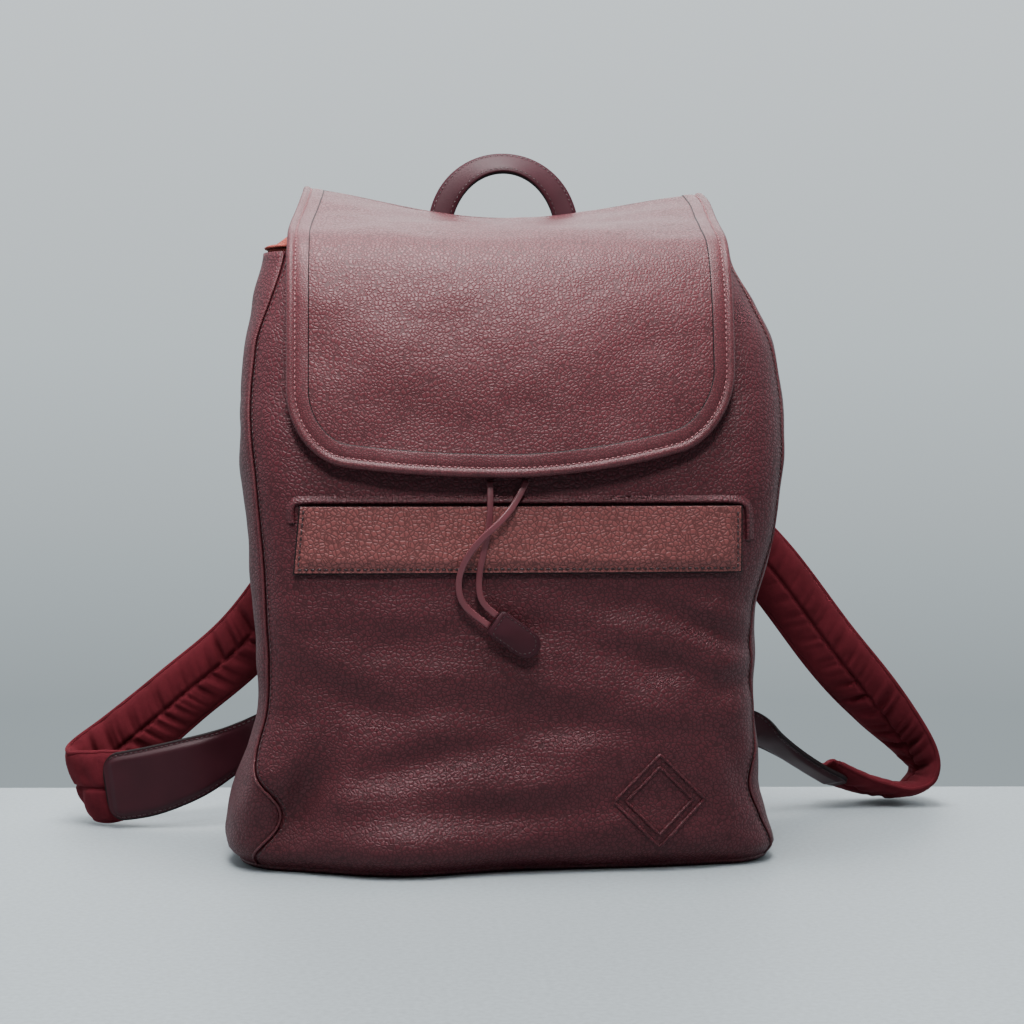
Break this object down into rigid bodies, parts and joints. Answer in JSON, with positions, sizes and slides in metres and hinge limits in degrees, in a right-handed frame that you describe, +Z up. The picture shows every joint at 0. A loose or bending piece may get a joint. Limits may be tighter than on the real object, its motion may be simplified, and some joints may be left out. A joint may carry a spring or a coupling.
{
  "type": "leather backpack",
  "caption": "Soft burgundy leather flap backpack with a front pocket, drawstring mouth, top handle and padded shoulder straps spread to its sides.",
  "frame": {"origin": "middle of the base's underside, on the surface that the bag stands on", "axes": "+X to the right seen from the front, across the spread straps; +Y towards the back; +Z up"},
  "size_m": [0.5636, 0.2355, 0.422],
  "materials": {
    "pebbled_leather": "pebbled semi-matt",
    "smooth_leather": "smooth semi-matt",
    "strap_fabric": "brushed",
    "lining_fabric": "matt",
    "padding": "matt foam",
    "stiffener": "matt",
    "metal": "satin"
  },
  "bodies": {
    "bag": {"front_panel": "pebbled_leather", "back_panel": "pebbled_leather", "side_gusset_left": "pebbled_leather", "side_gusset_right": "pebbled_leather", "base_panel": "pebbled_leather", "base_board": "stiffener", "back_padding": "padding", "body_lining": "lining_fabric", "drawstring_loop": "smooth_leather", "rim_facing": "smooth_leather", "rim_eyelets": "metal", "flap_catches": "metal", "pocket_catches": "metal", "pocket_bag": "lining_fabric", "pocket_welt": "smooth_leather", "drawstring_upper_a": "smooth_leather", "drawstring_upper_b": "smooth_leather", "handle_patch": "smooth_leather", "handle_tabs": "smooth_leather", "strap_yoke": "smooth_leather", "strap_anchor_left": "smooth_leather", "strap_anchor_right": "smooth_leather"},
    "flap_top": {"flap_top_panel": "pebbled_leather", "flap_top_lining": "lining_fabric", "flap_top_border": "smooth_leather"},
    "flap_front": {"flap_front_panel": "pebbled_leather", "flap_front_lining": "lining_fabric", "flap_front_border": "smooth_leather", "flap_magnets": "metal"},
    "pocket_flap": {"pocket_flap_strip": "pebbled_leather", "pocket_flap_lining": "lining_fabric", "pocket_flap_magnets": "metal"},
    "drawstring": {"drawstring_cord_a": "smooth_leather", "drawstring_cord_b": "smooth_leather", "drawstring_tab": "smooth_leather"},
    "handle": {"top_handle": "smooth_leather"},
    "strap_left": {"strap_left_band": "strap_fabric", "strap_left_tail": "smooth_leather"},
    "strap_right": {"strap_right_band": "strap_fabric", "strap_right_tail": "smooth_leather"},
    "slider_left": {"slider_left": "metal"},
    "slider_right": {"slider_right": "metal"}
  },
  "joints": [
    {"name": "flap_hinge", "type": "hinge", "parent": "bag", "child": "flap_top", "pos_m": [0, 0.0755, 0.391], "axis": [-1, 0, 0], "range_deg": [0, 105]},
    {"name": "flap_fold", "type": "hinge", "parent": "flap_top", "child": "flap_front", "pos_m": [0, -0.066, 0.352], "axis": [-1, 0, 0], "range_deg": [0, 63]},
    {"name": "pocket_flap_hinge", "type": "hinge", "parent": "bag", "child": "pocket_flap", "pos_m": [0, -0.0851, 0.2053], "axis": [-1, 0, 0], "range_deg": [0, 80]},
    {"name": "drawstring_lift", "type": "hinge", "parent": "bag", "child": "drawstring", "pos_m": [0, -0.0846, 0.219], "axis": [-1, 0, 0], "range_deg": [0, 80]},
    {"name": "handle_swing", "type": "hinge", "parent": "bag", "child": "handle", "pos_m": [0, 0.0819, 0.366], "axis": [-1, 0, 0], "range_deg": [0, 85]},
    {"name": "strap_left_swing", "type": "hinge", "parent": "bag", "child": "strap_left", "pos_m": [-0.036, 0.078, 0.335], "axis": [-0.2267, 0, -0.974], "range_deg": [0, 45]},
    {"name": "strap_right_swing", "type": "hinge", "parent": "bag", "child": "strap_right", "pos_m": [0.036, 0.078, 0.335], "axis": [-0.2267, 0, 0.974], "range_deg": [0, 45]},
    {"name": "slider_left_slide", "type": "slide", "parent": "strap_left", "child": "slider_left", "axis": [0.907, 0, 0.4211], "range_m": [-0.006, 0.008]},
    {"name": "slider_right_slide", "type": "slide", "parent": "strap_right", "child": "slider_right", "axis": [-0.9199, 0, 0.3921], "range_m": [-0.006, 0.008]}
  ],
  "couplings": [
    {"joint": "flap_fold", "follows": "flap_hinge", "ratio": 0.6},
    {"joint": "drawstring_lift", "follows": "pocket_flap_hinge", "ratio": 1}
  ]
}
